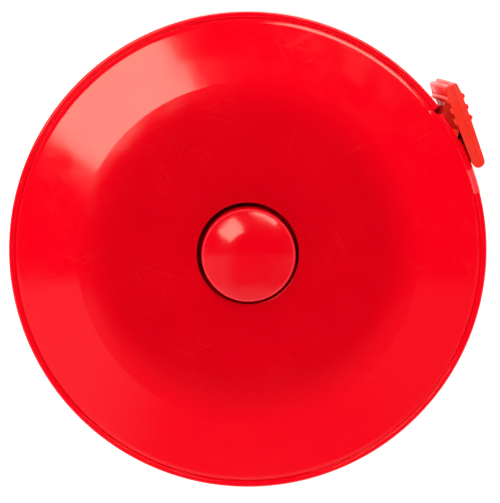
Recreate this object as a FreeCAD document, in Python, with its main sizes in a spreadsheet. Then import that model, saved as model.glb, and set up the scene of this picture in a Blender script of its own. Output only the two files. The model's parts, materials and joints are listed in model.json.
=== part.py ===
import FreeCAD, Part
import math
import os

import Sketcher
from FreeCAD import Placement, Rotation, Vector

# A pocket tape measure in a flat round case. It lies on its back: +Z runs out of the push button,
# and the origin is the centre of the flat back face. All sizes are in millimetres and degrees.
# The tape is wound on a spring-driven reel, leaves the coil on a straight tangent and ends in a
# ribbed pull tab that rests against the rim. The push button frees the reel's brake.

os.makedirs("parts", exist_ok=True)
doc = FreeCAD.newDocument("pocket_tape_measure")

DIMENSIONS = [
    # case, shared by both shells
    ("case_radius", 25.0),
    ("case_top", 13.0),
    ("parting_level", 6.5),
    ("seam_chamfer", 0.15),
    ("plateau_radius", 17.8),
    ("plateau_crown", 0.5),
    ("plateau_arc", 144.25),
    ("band_drop", 1.6),
    ("groove_inner", 24.23),
    ("groove_radius", 24.35),
    ("groove_outer", 24.47),
    ("groove_depth", 0.22),
    ("rim_round", 0.5),
    ("inner_radius", 23.8),
    ("inner_crease_radius", 17.5),
    ("floor_thickness", 1.2),
    ("inner_band_foot", 2.7),
    # front shell
    ("hole_radius", 5.3),
    ("hole_round", 0.5),
    ("collar_radius", 6.2),
    ("collar_drop", 0.8),
    # locating lip of the back shell
    ("lip_inner", 23.25),
    ("lip_outer", 23.75),
    ("lip_height", 0.8),
    ("lip_root", 0.7),
    ("lip_ramp", 0.6),
    # nose, the plain swelling of the rim beside the mouth
    ("nose_radius", 25.25),
    ("nose_root", 23.9),
    ("nose_shoulder", 24.9),
    ("nose_root_depth", 2.03),
    ("nose_shoulder_depth", 2.28),
    ("nose_side_depth", 2.7),
    ("nose_round", 0.5),
    ("nose_middle", 25.8),
    ("nose_sweep", 23.0),
    # notch beside the nose, seen from the front
    ("notch_root_x", 19.33),
    ("notch_root_y", 14.73),
    ("notch_throat_x", 19.6),
    ("notch_throat_y", 14.42),
    ("notch_lip_x", 21.95),
    ("notch_lip_y", 12.45),
    ("notch_lip_round", 2.6),
    ("notch_far_x", 25.0),
    ("notch_far_y", 13.6),
    ("notch_top_x", 23.0),
    ("notch_top_y", 17.5),
    ("notch_rim_x", 20.7),
    ("notch_rim_y", 15.8),
    # mouth, in the frame of the straight tape
    ("tape_angle", -14.0),
    ("mouth_low_side", 15.4),
    ("mouth_high_side", 18.6),
    ("mouth_inside", 14.5),
    ("mouth_outside", 24.0),
    ("mouth_floor", 2.7),
    ("mouth_ceiling", 10.4),
    # screws and their bosses
    ("screw_circle", 21.4),
    ("first_screw_angle", 80.0),
    ("screw_radius", 0.8),
    ("screw_clearance", 0.85),
    ("screw_head_radius", 1.45),
    ("screw_head_bottom", 1.2),
    ("screw_head_seat", 2.0),
    ("screw_point", 0.6),
    ("screw_tip", 8.9),
    ("recess_arm", 0.8),
    ("recess_half", 0.16),
    ("recess_depth", 0.4),
    ("counterbore_radius", 1.6),
    ("back_boss_radius", 2.2),
    ("back_boss_root", 1.5),
    ("front_boss_radius", 1.8),
    ("front_boss_height", 4.4),
    ("pilot_depth", 2.7),
    # post
    ("socket_floor", 0.6),
    ("spigot_radius", 2.0),
    ("socket_boss_radius", 4.2),
    ("post_shoulder", 2.2),
    ("post_radius", 3.0),
    ("post_neck", 2.5),
    ("clip_bottom", 7.65),
    ("clip_thickness", 0.3),
    ("clip_radius", 3.8),
    ("clip_mouth_half", 1.7),
    ("square_half", 1.5),
    ("square_height", 4.25),
    ("slot_half", 0.15),
    ("slot_bottom", 3.1),
    ("slot_height", 4.0),
    ("seat_bore", 2.2),
    ("thrust_radius", 5.0),
    ("thrust_thickness", 0.35),
    ("running_gap", 0.05),
    # reel
    ("reel_bottom", 2.6),
    ("flange_thickness", 0.5),
    ("flange_radius", 18.8),
    ("drum_radius", 9.35),
    ("barrel_radius", 8.6),
    ("reel_top", 10.2),
    ("web_bottom", 7.0),
    ("web_top", 7.6),
    ("flange_bore", 5.6),
    ("brake_bore", 5.8),
    ("brake_radius", 8.5),
    ("brake_thickness", 0.3),
    # power spring
    ("strip_thickness", 0.15),
    ("strip_pitch", 0.38),
    ("strip_inner", 3.35),
    ("strip_turns", 13.0),
    ("strip_bottom", 3.2),
    ("strip_width", 3.65),
    ("hook_reach", 2.2),
    # tape
    ("tape_bottom", 3.15),
    ("tape_width", 7.0),
    ("tape_thickness", 0.34),
    ("tape_half", 0.17),
    ("tape_pitch", 0.4),
    ("tape_turns", 18.5),
    ("coil_outer", 17.0),
    ("leader_start", 0.02),
    ("leader_length", 18.8),
    # anchor rivet of the tape's inner end
    ("anchor_angle", 176.0),
    ("anchor_radius", 0.45),
    ("anchor_start", 8.35),
    ("anchor_length", 1.4),
    ("anchor_head_radius", 0.8),
    ("anchor_head_thickness", 0.2),
    ("anchor_drum_hole", 8.45),
    ("anchor_hole_length", 1.2),
    ("anchor_tape_hole", 9.3),
    ("anchor_tape_length", 0.5),
    ("anchor_level", 8.7),
    # push button
    ("button_radius", 4.9),
    ("button_bore", 4.1),
    ("button_bottom", 8.9),
    ("button_flange_radius", 7.4),
    ("button_flange_top", 9.6),
    ("button_side_top", 13.83),
    ("button_shoulder", 4.5),
    ("button_shoulder_level", 14.39),
    ("button_edge_round", 0.6),
    ("button_top", 15.27),
    ("button_dome", 12.0),
    ("button_flat", 0.3),
    ("button_roof", 13.6),
    ("stem_radius", 2.75),
    ("keyway_half", 1.55),
    ("keyway_depth", 3.9),
    ("pad_inner", 6.2),
    ("pad_outer", 7.3),
    ("pad_thickness", 0.25),
    # button return spring
    ("wire_radius", 0.2),
    ("coil_spring_radius", 3.35),
    ("coil_spring_pitch", 0.986),
    ("coil_spring_foot", 8.46),
    # pull tab, in its own frame: along the plate, and from its outer to its inner face
    ("tab_face_radius", 25.31),
    ("tab_face_angle", 20.0),
    ("tab_bottom", 2.2),
    ("tab_depth", 8.6),
    ("tab_foot", 0.01),
    ("tab_below_touch", 0.05),
    ("tab_seam", 0.55),
    ("tab_thickness", 1.33),
    ("tab_foot_round", 0.665),
    ("tab_cover_end", 8.925),
    ("tab_cover_round", 0.285),
    ("tab_plate_end", 8.81),
    ("tab_plate_round", 0.4),
    ("rib_radius", 0.38),
    ("rib_span", 2.38),
    ("first_rib", 5.3),
    ("lug_root_low", 4.95),
    ("lug_root_high", 8.71),
    ("lug_root_level", 1.2),
    ("lug_tip_high_x", 4.53),
    ("lug_tip_high_y", 4.02),
    ("lug_tip_low_x", 3.36),
    ("lug_tip_low_y", 2.27),
    ("lug_bottom", 2.95),
    ("lug_height", 7.4),
    # slit and rivets that hold the tape in the lug
    ("slit_half", 0.18),
    ("slit_width", 0.36),
    ("slit_start", 16.0),
    ("slit_length", 3.0),
    ("slit_bottom", 3.13),
    ("slit_height", 7.04),
    ("rivet_place", 17.15),
    ("rivet_low", 5.0),
    ("rivet_high", 8.3),
    ("rivet_radius", 0.4),
    ("rivet_half", 0.77),
    ("rivet_length", 2.16),
    ("rivet_head_radius", 0.6),
    ("rivet_head_thickness", 0.15),
]
SCREW_COUNT = 3
RIB_COUNT = 3
SPRING_HALF_TURNS = 10

size = {alias: value for alias, value in DIMENSIONS}
sheet = doc.addObject("Spreadsheet::Sheet", "Dimensions")
for row, (alias, value) in enumerate(DIMENSIONS, start=1):
    sheet.set("A%d" % row, alias)
    sheet.set("B%d" % row, str(value))
    sheet.setAlias("B%d" % row, alias)
doc.recompute()

nodes = []


def formula(words):
    """The sheet expression for a sum such as "case_radius - rim_round"."""
    return " ".join(w if w in "+-" else "Dimensions." + w for w in words.split())


def number(words):
    """The value of the same sum."""
    total, sign = 0.0, 1.0
    for word in words.split():
        if word in "+-":
            sign = 1.0 if word == "+" else -1.0
        else:
            total += sign * size[word]
    return total


def bind(item, **sizes):
    for prop, words in sizes.items():
        item.setExpression(prop, formula(words))
    return item


def keep(item, label):
    item.Label = label
    nodes.append(item)
    return item


def new_body(name):
    return doc.addObject("PartDesign::Body", name)


def new_sketch(body, name, role="XZ_Plane", offset=None):
    sketch = body.newObject("Sketcher::SketchObject", name)
    plane = [f for f in body.Origin.OriginFeatures if f.Role == role][0]
    sketch.AttachmentSupport = [(plane, "")]
    sketch.MapMode = "FlatFace"
    if offset is not None:
        sketch.AttachmentOffset = offset
    return sketch


def drive(sketch, constraint, name, words):
    index = sketch.addConstraint(constraint)
    sketch.renameConstraint(index, name)
    sketch.setExpression("Constraints." + name, formula(words))


def pin(sketch, side, end, name, across, up):
    """Fixes one end of a side at a distance across and up from the sketch's origin."""
    if across:
        far = Sketcher.Constraint("DistanceX", -1, 1, side, end, number(across))
        drive(sketch, far, "across_" + name, across)
    else:
        sketch.addConstraint(Sketcher.Constraint("PointOnObject", side, end, -2))
    if up:
        high = Sketcher.Constraint("DistanceY", -1, 1, side, end, number(up))
        drive(sketch, high, "up_" + name, up)
    else:
        sketch.addConstraint(Sketcher.Constraint("PointOnObject", side, end, -1))


def arc_between(start, finish, radius, left):
    """The shorter arc from start to finish; left says which way it turns."""
    chord = finish - start
    half = chord.Length / 2.0
    reach = math.sqrt(max(radius * radius - half * half, 0.0))
    side = Vector(-chord.y, chord.x, 0).normalize() * (reach if left else -reach)
    centre = start + chord * 0.5 + side
    first, last = (start, finish) if left else (finish, start)
    begin = math.atan2(first.y - centre.y, first.x - centre.x)
    end = math.atan2(last.y - centre.y, last.x - centre.x)
    circle = Part.Circle(centre, Vector(0, 0, 1), radius)
    return Part.ArcOfCircle(circle, begin, end)


def outline(sketch, corners):
    """A closed outline through corners (across, up), each a sum of sheet names or "" for zero.

    A corner with two more entries, a radius and "left" or "right", is reached by an arc.
    """
    points = [Vector(number(c[0]), number(c[1]), 0) for c in corners]
    ends = []
    for i, corner in enumerate(corners):
        start, finish = points[i - 1], points[i]
        if len(corner) == 4:
            left = corner[3] == "left"
            arc = arc_between(start, finish, number(corner[2]), left)
            side = sketch.addGeometry(arc, False)
            drive(
                sketch,
                Sketcher.Constraint("Radius", side, number(corner[2])),
                "radius_%d" % i,
                corner[2],
            )
            ends.append((side, 1, 2) if left else (side, 2, 1))
        else:
            side = sketch.addGeometry(Part.LineSegment(start, finish), False)
            ends.append((side, 1, 2))
    for i, corner in enumerate(corners):
        side, _, finish_end = ends[i]
        after, start_end, _ = ends[(i + 1) % len(ends)]
        sketch.addConstraint(
            Sketcher.Constraint("Coincident", side, finish_end, after, start_end)
        )
        pin(sketch, side, finish_end, str(i), corner[0], corner[1])


def disc_outline(sketch, across, up, radius):
    centre = Vector(number(across), number(up), 0)
    circle = Part.Circle(centre, Vector(0, 0, 1), number(radius))
    side = sketch.addGeometry(circle, False)
    drive(
        sketch,
        Sketcher.Constraint("Radius", side, number(radius)),
        "radius_%d" % side,
        radius,
    )
    pin(sketch, side, 3, str(side), across, up)


def revolve(body, sketch, name, angle=None):
    """Turns a section about Z: a full turn, or an angle split evenly to both sides."""
    feature = body.newObject("PartDesign::Revolution", name)
    feature.Profile = sketch
    feature.ReferenceAxis = (sketch, ["V_Axis"])
    if angle is None:
        feature.Angle = 360.0
    else:
        feature.Midplane = True
        feature.setExpression("Angle", formula(angle))
    return feature


def pad(body, sketch, name, length, level=None):
    feature = body.newObject("PartDesign::Pad", name)
    feature.Profile = sketch
    feature.setExpression("Length", formula(length))
    if level:
        sketch.setExpression(".AttachmentOffset.Base.z", formula(level))
    return feature


def pocket(body, sketch, name, length, level, upward):
    """Cuts from a level upwards or downwards, and makes sure that it takes material away."""
    if level:
        sketch.setExpression(".AttachmentOffset.Base.z", formula(level))
    doc.recompute()
    before = body.Shape.Volume
    feature = body.newObject("PartDesign::Pocket", name)
    feature.Profile = sketch
    feature.setExpression("Length", formula(length))
    feature.Reversed = upward
    doc.recompute()
    if not body.Shape.Volume < before - 1e-6:
        raise RuntimeError(name + " cuts nothing")
    return feature


def turned_piece(label, corners):
    """A piece turned from one section in the XZ plane."""
    body = new_body(label + "_body")
    section = new_sketch(body, label + "_section")
    outline(section, corners)
    revolve(body, section, label + "_turned")
    return body


def ring(label, inner, outer, low, high):
    return turned_piece(label, [(inner, low), (outer, low), (outer, high), (inner, high)])


def polar(body, originals, axis_sketch, name, count):
    """Repeats features evenly round Z."""
    pattern = body.newObject("PartDesign::PolarPattern", name)
    pattern.Originals = originals
    pattern.Axis = (axis_sketch, ["N_Axis"])
    pattern.Angle = 360.0
    pattern.Occurrences = count
    body.Tip = pattern
    return pattern


def turned_axes(words):
    """An offset that turns a sketch on the XY plane about Z by an angle."""
    return Placement(Vector(), Rotation(Vector(0, 0, 1), number(words)))


def box(name, origin, spans, angle_words="tape_angle"):
    """A box in the frame turned about Z, with its low corner at origin."""
    item = doc.addObject("Part::Box", name)
    bind(item, Length=spans[0], Width=spans[1], Height=spans[2])
    turn = Rotation(Vector(0, 0, 1), number(angle_words))
    low_corner = Vector(*[number(o) for o in origin])
    item.Placement = Placement(turn.multVec(low_corner), turn)
    return item


def rod(name, radius, length, start, angle_words="tape_angle"):
    """A cylinder along the turned frame's own X, which starts at start."""
    item = doc.addObject("Part::Cylinder", name)
    bind(item, Radius=radius, Height=length)
    turn = Rotation(Vector(0, 0, 1), number(angle_words))
    along_x = Rotation(Vector(0, 0, 1), Vector(1, 0, 0))
    foot = Vector(*[number(s) for s in start])
    item.Placement = Placement(turn.multVec(foot), turn.multiply(along_x))
    return item


def cut(name, base, tool):
    item = doc.addObject("Part::Cut", name)
    item.Base = base
    item.Tool = tool
    return item


def fuse(name, shapes):
    item = doc.addObject("Part::MultiFuse", name)
    item.Shapes = shapes
    return item


def group(name, links):
    item = doc.addObject("Part::Compound", name)
    item.Links = links
    return item


def on_circle(radius, angle, level):
    """The point at a radius and an angle in degrees."""
    return Rotation(Vector(0, 0, 1), angle).multVec(Vector(radius, 0, level))


def spiral_strip(inner, pitch, turns, thickness, last_angle, low, height):
    """A flat strip wound outwards in half circles, whose outer end is at last_angle, in degrees.

    The half circles' centres lie a quarter pitch to either side of the axis.
    """
    halves = int(round(2 * turns))
    edges = []
    ends = []
    for offset in (-thickness / 2.0, thickness / 2.0):
        corners = []
        for i in range(halves + 1):
            angle = last_angle - 180.0 * (halves - i)
            corners.append(on_circle(inner + pitch * i / 2.0 + offset, angle, low))
        for i in range(halves):
            first, last = corners[i], corners[i + 1]
            centre = (first + last) / 2.0
            middle = centre + Rotation(Vector(0, 0, 1), 90.0).multVec(first - centre)
            edges.append(Part.Arc(first, middle, last).toShape())
        ends.append((corners[0], corners[-1]))
    for near, far in zip(*ends):
        edges.append(Part.makeLine(near, far))
    loop = Part.Wire(Part.__sortEdges__(edges))
    return Part.Face(loop).extrude(Vector(0, 0, height))


# ---------------------------------------------------------------- case shells

CREASE_LEVEL = "case_top - plateau_crown"
BAND_FOOT = "case_top - plateau_crown - band_drop"


def screw_positions(body, name, radius):
    """A sketch on the XY plane with one circle at the first screw's place."""
    sketch = new_sketch(body, name, "XY_Plane", turned_axes("first_screw_angle"))
    disc_outline(sketch, "screw_circle", "", radius)
    return sketch


def mouth_sketch(body, name):
    """The mouth's outline, seen from the front, in the frame of the straight tape."""
    sketch = new_sketch(body, name, "XY_Plane", turned_axes("tape_angle"))
    low, high = "mouth_low_side", "mouth_high_side"
    outline(
        sketch,
        [
            (low, "mouth_inside"),
            (high, "mouth_inside"),
            (high, "mouth_outside"),
            (low, "mouth_outside"),
        ],
    )
    return sketch


def add_nose(body, name, corners):
    """Fuses the plain swelling beside the mouth to a shell."""
    turn = Placement(Vector(), Rotation(Vector(0, 1, 0), size["nose_middle"]))
    section = new_sketch(body, name + "_section", "XZ_Plane", turn)
    outline(section, corners)
    return revolve(body, section, name, "nose_sweep")


# Front shell: a nearly flat crowned plateau, a crisp crease, a sloping band, a fine groove and a
# rounded rim. A collar guides the button.
front = turned_piece(
    "front_shell",
    [
        ("hole_radius", CREASE_LEVEL + " - floor_thickness - collar_drop + plateau_crown"),
        ("collar_radius", CREASE_LEVEL + " - floor_thickness - collar_drop + plateau_crown"),
        ("collar_radius", "case_top - floor_thickness"),
        ("inner_crease_radius", CREASE_LEVEL + " - floor_thickness"),
        ("inner_radius", CREASE_LEVEL + " - inner_band_foot"),
        ("inner_radius", "parting_level"),
        ("case_radius - seam_chamfer", "parting_level"),
        ("case_radius", "parting_level + seam_chamfer"),
        ("case_radius", BAND_FOOT + " - rim_round"),
        ("case_radius - rim_round", BAND_FOOT, "rim_round", "left"),
        ("groove_outer", BAND_FOOT),
        ("groove_radius", BAND_FOOT + " - groove_depth"),
        ("groove_inner", BAND_FOOT),
        ("plateau_radius", CREASE_LEVEL),
        ("hole_radius + hole_round", "case_top", "plateau_arc", "left"),
        ("hole_radius", "case_top - hole_round", "hole_round", "left"),
    ],
)
add_nose(
    front,
    "front_nose",
    [
        ("nose_root", "parting_level"),
        ("nose_radius", "parting_level"),
        ("nose_radius", "case_top - nose_side_depth"),
        ("nose_shoulder", "case_top - nose_shoulder_depth", "nose_round", "left"),
        ("nose_root", "case_top - nose_root_depth"),
    ],
)
front_boss_sketch = screw_positions(front, "front_boss_outline", "front_boss_radius")
front_boss = pad(front, front_boss_sketch, "front_boss", "front_boss_height", "parting_level")
pilot_sketch = screw_positions(front, "pilot_outline", "screw_radius")
pilot = pocket(front, pilot_sketch, "pilot", "pilot_depth", "parting_level", True)
polar(front, [front_boss, pilot], pilot_sketch, "front_bosses", SCREW_COUNT)
front_mouth = mouth_sketch(front, "front_mouth_outline")
pocket(front, front_mouth, "front_mouth", "mouth_ceiling - parting_level", "parting_level", True)
notch = new_sketch(front, "notch_outline", "XY_Plane")
outline(
    notch,
    [
        ("notch_root_x", "notch_root_y"),
        ("notch_throat_x", "notch_throat_y"),
        ("notch_lip_x", "notch_lip_y", "notch_lip_round", "right"),
        ("notch_far_x", "notch_far_y"),
        ("notch_top_x", "notch_top_y"),
        ("notch_rim_x", "notch_rim_y"),
    ],
)
pocket(front, notch, "notch", "case_top - parting_level", "parting_level", True)
keep(front, "front_shell")

# Back shell: the same plateau, band and rim with a flat back, a locating lip, and a socket for
# the post.
back = turned_piece(
    "back_shell",
    [
        ("", ""),
        ("plateau_radius", ""),
        ("groove_inner", "band_drop"),
        ("groove_radius", "band_drop + groove_depth"),
        ("groove_outer", "band_drop"),
        ("case_radius - rim_round", "band_drop"),
        ("case_radius", "band_drop + rim_round", "rim_round", "left"),
        ("case_radius", "parting_level - seam_chamfer"),
        ("case_radius - seam_chamfer", "parting_level"),
        ("lip_outer", "parting_level"),
        ("lip_outer", "parting_level + lip_height"),
        ("lip_inner", "parting_level + lip_height"),
        ("lip_inner", "parting_level - lip_root"),
        ("inner_radius", "parting_level - lip_root - lip_ramp"),
        ("inner_radius", "inner_band_foot"),
        ("inner_crease_radius", "floor_thickness"),
        ("socket_boss_radius", "floor_thickness"),
        ("socket_boss_radius", "post_shoulder"),
        ("spigot_radius", "post_shoulder"),
        ("spigot_radius", "socket_floor"),
        ("", "socket_floor"),
    ],
)
add_nose(
    back,
    "back_nose",
    [
        ("nose_root", "nose_root_depth - plateau_crown"),
        ("nose_shoulder", "nose_shoulder_depth - plateau_crown"),
        ("nose_radius", "nose_side_depth - plateau_crown", "nose_round", "left"),
        ("nose_radius", "parting_level"),
        ("nose_root", "parting_level"),
    ],
)
back_boss_sketch = screw_positions(back, "back_boss_outline", "back_boss_radius")
back_boss = pad(
    back, back_boss_sketch, "back_boss", "parting_level - back_boss_root", "back_boss_root"
)
head_sketch = screw_positions(back, "counterbore_outline", "counterbore_radius")
counterbore = pocket(back, head_sketch, "counterbore", "screw_head_seat", "", True)
hole_sketch = screw_positions(back, "screw_hole_outline", "screw_clearance")
screw_hole = pocket(back, hole_sketch, "screw_hole", "parting_level", "", True)
polar(back, [back_boss, counterbore, screw_hole], hole_sketch, "back_bosses", SCREW_COUNT)
back_mouth = mouth_sketch(back, "back_mouth_outline")
MOUTH_BELOW = "parting_level + lip_height - mouth_floor"
pocket(back, back_mouth, "back_mouth", MOUTH_BELOW, "mouth_floor", True)
keep(back, "back_shell")

# Case screws: three self-tapping screws driven from the back, each with a cross recess.
screws = []
for i in range(SCREW_COUNT):
    label = "case_screw_%d" % (i + 1)
    screw = turned_piece(
        label,
        [
            ("", "screw_head_bottom"),
            ("screw_head_radius", "screw_head_bottom"),
            ("screw_head_radius", "screw_head_seat"),
            ("screw_radius", "screw_head_seat"),
            ("screw_radius", "screw_tip - screw_point"),
            ("", "screw_tip"),
        ],
    )
    for arm, (long_way, short_way) in enumerate(
        [("recess_arm", "recess_half"), ("recess_half", "recess_arm")]
    ):
        recess = new_sketch(screw, "%s_recess_%d_outline" % (label, arm), "XY_Plane")
        outline(
            recess,
            [
                ("- " + long_way, "- " + short_way),
                (long_way, "- " + short_way),
                (long_way, short_way),
                ("- " + long_way, short_way),
            ],
        )
        cut_name = "%s_recess_%d" % (label, arm)
        pocket(screw, recess, cut_name, "recess_depth", "screw_head_bottom", True)
    angle = math.radians(size["first_screw_angle"] + i * 360.0 / SCREW_COUNT)
    reach = size["screw_circle"]
    screw.Placement = Placement(
        Vector(reach * math.cos(angle), reach * math.sin(angle), 0), Rotation()
    )
    screws.append(screw)
keep(group("case_screw_group", screws), "case_screws")

# ---------------------------------------------------------------- post and what it carries

CLIP_TOP = "clip_bottom + clip_thickness"
post = turned_piece(
    "centre_post",
    [
        ("", "socket_floor"),
        ("spigot_radius", "socket_floor"),
        ("spigot_radius", "post_shoulder"),
        ("post_radius", "post_shoulder"),
        ("post_radius", "clip_bottom"),
        ("post_neck", "clip_bottom"),
        ("post_neck", CLIP_TOP),
        ("", CLIP_TOP),
    ],
)
square = new_sketch(post, "post_square_outline", "XY_Plane")
outline(
    square,
    [
        ("- square_half", "- square_half"),
        ("square_half", "- square_half"),
        ("square_half", "square_half"),
        ("- square_half", "square_half"),
    ],
)
pad(post, square, "post_square", "square_height", CLIP_TOP)
slot = new_sketch(post, "post_slot_outline", "XY_Plane")
outline(
    slot,
    [
        ("", "- slot_half"),
        ("clip_radius", "- slot_half"),
        ("clip_radius", "slot_half"),
        ("", "slot_half"),
    ],
)
pocket(post, slot, "post_slot", "slot_height", "slot_bottom", True)
keep(post, "centre_post")

clip = ring("retaining_clip", "post_neck", "clip_radius", "clip_bottom", CLIP_TOP)
clip_mouth = new_sketch(clip, "clip_mouth_outline", "XY_Plane")
outline(
    clip_mouth,
    [
        ("", "- clip_mouth_half"),
        ("case_radius", "- clip_mouth_half"),
        ("case_radius", "clip_mouth_half"),
        ("", "clip_mouth_half"),
    ],
)
pocket(clip, clip_mouth, "clip_mouth", "clip_thickness", "clip_bottom", True)
keep(clip, "retaining_clip")

SEAT_TOP = CLIP_TOP + " + clip_thickness"
seat_washer = ring("spring_seat_washer", "seat_bore", "clip_radius", CLIP_TOP, SEAT_TOP)
keep(seat_washer, "spring_seat_washer")
BEARING = "post_radius + running_gap"
THRUST_TOP = "post_shoulder + thrust_thickness"
thrust_washer = ring("thrust_washer", BEARING, "thrust_radius", "post_shoulder", THRUST_TOP)
keep(thrust_washer, "thrust_washer")

# Power spring: a flat strip coiled in the reel's barrel, hooked into the post's slot.
spiral = spiral_strip(
    size["strip_inner"],
    size["strip_pitch"],
    size["strip_turns"],
    size["strip_thickness"],
    0.0,
    size["strip_bottom"],
    size["strip_width"],
)
hook = Part.makeBox(
    size["hook_reach"],
    size["strip_thickness"],
    size["strip_width"],
    Vector(
        size["strip_inner"] - size["hook_reach"], -size["strip_thickness"] / 2, size["strip_bottom"]
    ),
)
power_spring = doc.addObject("Part::Feature", "power_spring_strip")
power_spring.Shape = spiral.fuse(hook).removeSplitter()
keep(power_spring, "power_spring")

# ---------------------------------------------------------------- reel and tape

FLANGE_TOP = "reel_bottom + flange_thickness"
drum = turned_piece(
    "reel_drum",
    [
        (BEARING, "web_bottom"),
        ("barrel_radius", "web_bottom"),
        ("barrel_radius", "reel_bottom"),
        ("flange_radius", "reel_bottom"),
        ("flange_radius", FLANGE_TOP),
        ("drum_radius", FLANGE_TOP),
        ("drum_radius", "reel_top"),
        ("barrel_radius", "reel_top"),
        ("barrel_radius", "web_top"),
        (BEARING, "web_top"),
    ],
)
drum_hole = rod(
    "drum_rivet_hole",
    "anchor_radius",
    "anchor_hole_length",
    ("anchor_drum_hole", "", "anchor_level"),
    "anchor_angle",
)
keep(cut("reel_drum_drilled", drum, drum_hole), "reel_drum")

front_flange = ring(
    "reel_front_flange", "flange_bore", "flange_radius", "reel_top", "reel_top + flange_thickness"
)
keep(front_flange, "reel_front_flange")
keep(ring("spring_cover", BEARING, "barrel_radius", "reel_bottom", FLANGE_TOP), "spring_cover")
brake = ring(
    "brake_plate", "brake_bore", "brake_radius", "reel_top - brake_thickness", "reel_top"
)
keep(brake, "brake_plate")

# Tape: the wound coil, and the straight leader that runs from it through the mouth.
coil_inner = size["coil_outer"] - size["tape_pitch"] * size["tape_turns"]
wound_tape = doc.addObject("Part::Feature", "tape_coil_strip")
wound_tape.Shape = spiral_strip(
    coil_inner,
    size["tape_pitch"],
    size["tape_turns"],
    size["tape_thickness"],
    size["tape_angle"],
    size["tape_bottom"],
    size["tape_width"],
)
tape_hole = rod(
    "tape_rivet_hole",
    "anchor_radius",
    "anchor_tape_length",
    ("anchor_tape_hole", "", "anchor_level"),
    "anchor_angle",
)
keep(cut("tape_coil_punched", wound_tape, tape_hole), "tape_coil")

anchor_place = ("anchor_start", "", "anchor_level")
anchor_shank = rod(
    "anchor_shank", "anchor_radius", "anchor_length", anchor_place, "anchor_angle"
)
anchor_head = rod(
    "anchor_head", "anchor_head_radius", "anchor_head_thickness", anchor_place, "anchor_angle"
)
keep(fuse("tape_anchor_rivet", [anchor_shank, anchor_head]), "tape_anchor")

RIVET_LEVELS = ["rivet_low", "rivet_high"]
RIVET_START = "coil_outer - rivet_half"


def rivet_holes(name):
    """The shanks' own shapes, as tools that make the holes they fill."""
    places = [(RIVET_START, "rivet_place", level) for level in RIVET_LEVELS]
    return fuse(
        name,
        [
            rod("%s_%d" % (name, i), "rivet_radius", "rivet_length", place)
            for i, place in enumerate(places)
        ],
    )


leader_strip = box(
    "leader_strip",
    ("coil_outer - tape_half", "leader_start", "tape_bottom"),
    ("tape_thickness", "leader_length", "tape_width"),
)
keep(cut("tape_leader_punched", leader_strip, rivet_holes("leader_holes")), "tape_leader")

# ---------------------------------------------------------------- push button

button = turned_piece(
    "push_button",
    [
        ("", "button_flange_top"),
        ("stem_radius", "button_flange_top"),
        ("stem_radius", "button_roof"),
        ("button_bore", "button_roof"),
        ("button_bore", "button_bottom"),
        ("button_flange_radius", "button_bottom"),
        ("button_flange_radius", "button_flange_top"),
        ("button_radius", "button_flange_top"),
        ("button_radius", "button_side_top"),
        ("button_shoulder", "button_shoulder_level", "button_edge_round", "left"),
        ("button_flat", "button_top", "button_dome", "left"),
        ("", "button_top"),
    ],
)
keyway = new_sketch(button, "keyway_outline", "XY_Plane")
outline(
    keyway,
    [
        ("- keyway_half", "- keyway_half"),
        ("keyway_half", "- keyway_half"),
        ("keyway_half", "keyway_half"),
        ("- keyway_half", "keyway_half"),
    ],
)
pocket(button, keyway, "keyway", "keyway_depth", "button_flange_top", True)
keep(button, "push_button")
brake_pad = ring(
    "brake_pad",
    "pad_inner",
    "pad_outer",
    "button_flange_top",
    "button_flange_top + pad_thickness",
)
keep(brake_pad, "brake_pad")

# Return spring: a round wire coil between the seat washer and the underside of the button. Each
# half turn is half a ring, tilted so that its ends meet the next ones square on.
quarter_pitch = size["coil_spring_pitch"] / 4.0
tilt = math.degrees(math.atan2(quarter_pitch, size["coil_spring_radius"]))
half_turns = []
for i in range(SPRING_HALF_TURNS):
    half_turn = doc.addObject("Part::Torus", "spring_half_turn_%d" % i)
    half_turn.Angle3 = 180.0
    bind(half_turn, Radius2="wire_radius")
    radius = "sqrt(Dimensions.coil_spring_radius ^ 2 + (Dimensions.coil_spring_pitch / 4) ^ 2)"
    half_turn.setExpression("Radius1", radius)
    level = size["coil_spring_foot"] + quarter_pitch * (2 * i + 1)
    facing = Rotation(Vector(0, 0, 1), 180.0 * (i % 2))
    leaning = facing.multiply(Rotation(Vector(0, 1, 0), tilt))
    half_turn.Placement = Placement(Vector(0, 0, level), leaning)
    half_turns.append(half_turn)
keep(fuse("return_spring_coil", half_turns), "return_spring")

# ---------------------------------------------------------------- pull tab

# The tab's own frame: X runs up along the plate, Y from its outer face to its inner face. The
# inner face stands just clear of the nose where a line from the axis meets it square on.
outward = Rotation(Vector(0, 0, 1), size["tab_face_angle"]).multVec(Vector(1, 0, 0))
along = Vector(-outward.y, outward.x, 0)
TAB_PLACE = Placement(
    outward * (size["tab_face_radius"] + size["tab_thickness"])
    - along * size["tab_below_touch"],
    Rotation(Vector(0, 0, 1), size["tab_face_angle"] + 90.0),
)


def tab_half(label, corners, rib_level):
    """One ribbed half of the tab, in the tab's own frame."""
    body = new_body(label + "_body")
    plate = new_sketch(body, label + "_plate_outline", "XY_Plane")
    outline(plate, corners)
    pad(body, plate, label + "_plate", "tab_depth", "tab_bottom")
    rib = new_sketch(body, label + "_rib_outline", "XY_Plane")
    disc_outline(rib, "first_rib", rib_level, "rib_radius")
    rib_bar = pad(body, rib, label + "_rib", "tab_depth", "tab_bottom")
    doc.recompute()
    ribs = body.newObject("PartDesign::LinearPattern", label + "_ribs")
    ribs.Originals = [rib_bar]
    ribs.Direction = (rib, ["H_Axis"])
    ribs.setExpression("Length", formula("rib_span"))
    ribs.Occurrences = RIB_COUNT
    body.Tip = ribs
    body.Placement = TAB_PLACE
    return body



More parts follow.
